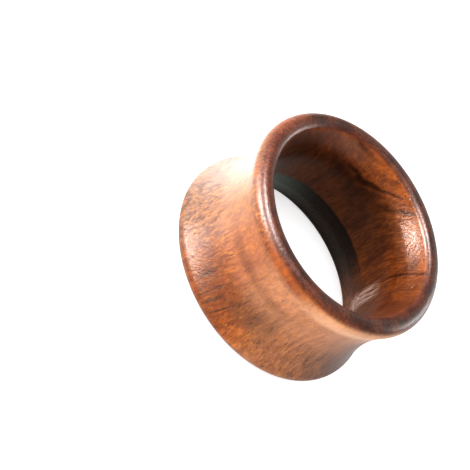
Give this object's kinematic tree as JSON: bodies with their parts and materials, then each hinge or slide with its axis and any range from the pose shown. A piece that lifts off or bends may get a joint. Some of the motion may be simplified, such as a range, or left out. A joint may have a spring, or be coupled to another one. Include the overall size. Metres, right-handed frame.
{
  "type": "wooden flesh tunnel",
  "caption": "Short wooden ring with flared, rounded rims, a waisted outside and an open flared hole, worn as a tunnel in a stretched ear lobe.",
  "frame": {"origin": "centre of the lower rim's face, on the surface that the tunnel stands on", "axes": "+Z along the tunnel's axis, up through the hole; X and Y are alike, since the tunnel is round"},
  "size_m": [0.0276, 0.0276, 0.0151],
  "materials": {
    "wood": "red-brown hardwood, polished and oiled: glossy rims and hole, satin waist, fine dark pores and streaks along the axis"
  },
  "bodies": {
    "root": {"tunnel": "wood"}
  },
  "joints": []
}
